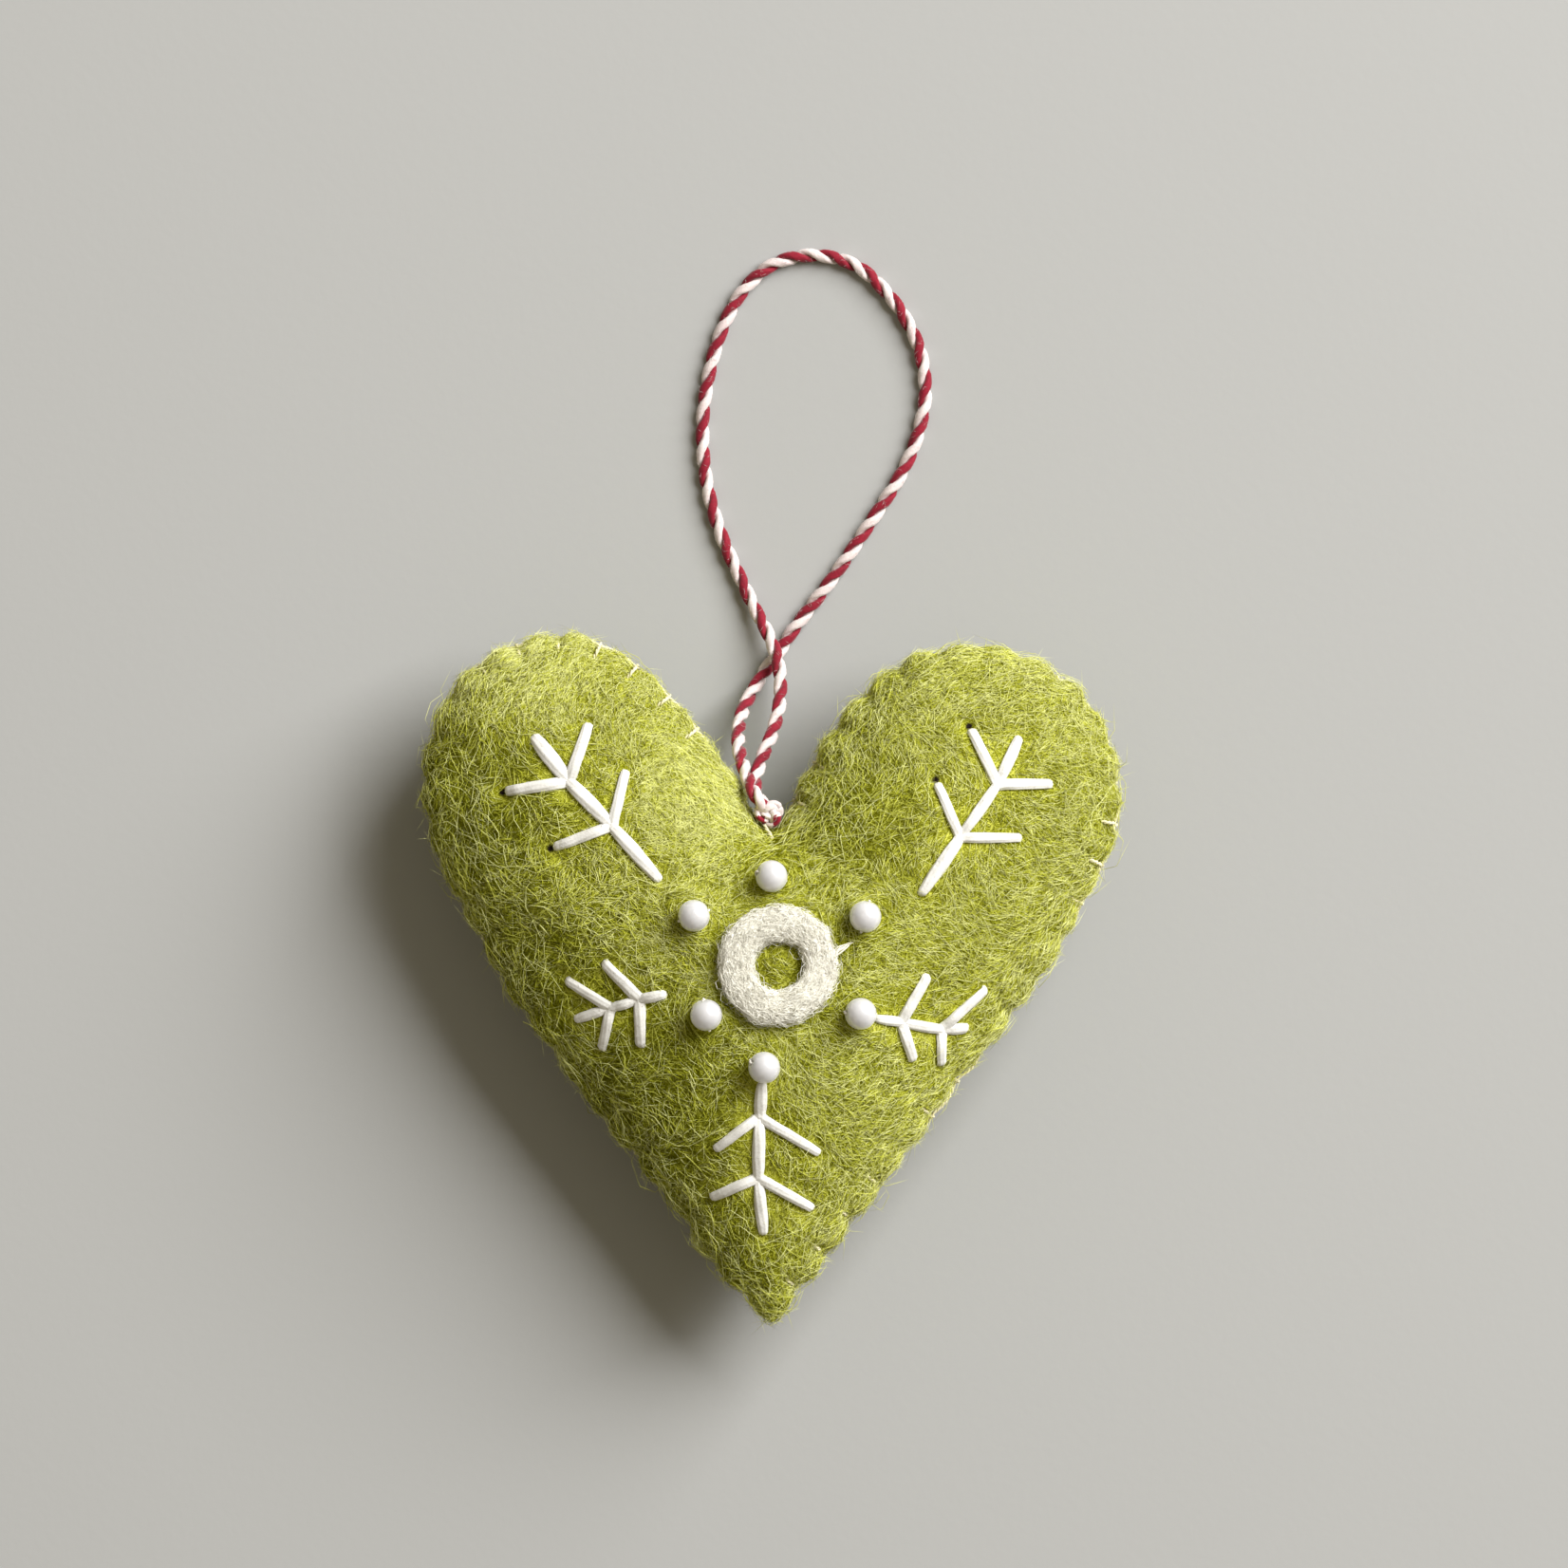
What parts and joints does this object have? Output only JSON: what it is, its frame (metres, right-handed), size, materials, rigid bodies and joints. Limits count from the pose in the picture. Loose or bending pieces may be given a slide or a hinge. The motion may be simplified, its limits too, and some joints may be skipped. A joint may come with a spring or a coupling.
{
  "type": "felt heart ornament",
  "caption": "Stuffed felt heart with blanket-stitched edge, snowflake embroidery, pearl beads and a twisted twine hanging loop.",
  "frame": {"origin": "on the surface it lies on, at the middle of the heart's width and height, on the back's flat spot", "axes": "+Z out of the embroidered front, +Y from the tip towards the cleft and the hanging loop, +X to the right seen from the front"},
  "size_m": [0.0901, 0.1364, 0.031],
  "materials": {
    "green_felt": "fuzzy wool felt in olive green with yellow-green surface fibres",
    "cream_wool": "needle-felted wool, matte and fuzzy",
    "cream_thread": "fine cotton sewing thread",
    "white_thread": "thick soft cotton embroidery thread",
    "pearl": "pearl coating with a soft sheen",
    "red_white_twine": "two-ply cotton twine, one ply red and one white"
  },
  "bodies": {
    "root": {"front_felt": "green_felt", "back_felt": "green_felt", "edge_stitch": "cream_thread", "centre_ring": "cream_wool", "bead_top": "pearl", "bead_upper_left": "pearl", "bead_upper_right": "pearl", "bead_lower_left": "pearl", "bead_lower_right": "pearl", "bead_bottom": "pearl", "sprig_upper_left": "white_thread", "sprig_upper_right": "white_thread", "sprig_left": "white_thread", "sprig_right": "white_thread", "sprig_bottom": "white_thread", "twine_knot": "red_white_twine", "twine_loop": "red_white_twine"}
  },
  "joints": []
}
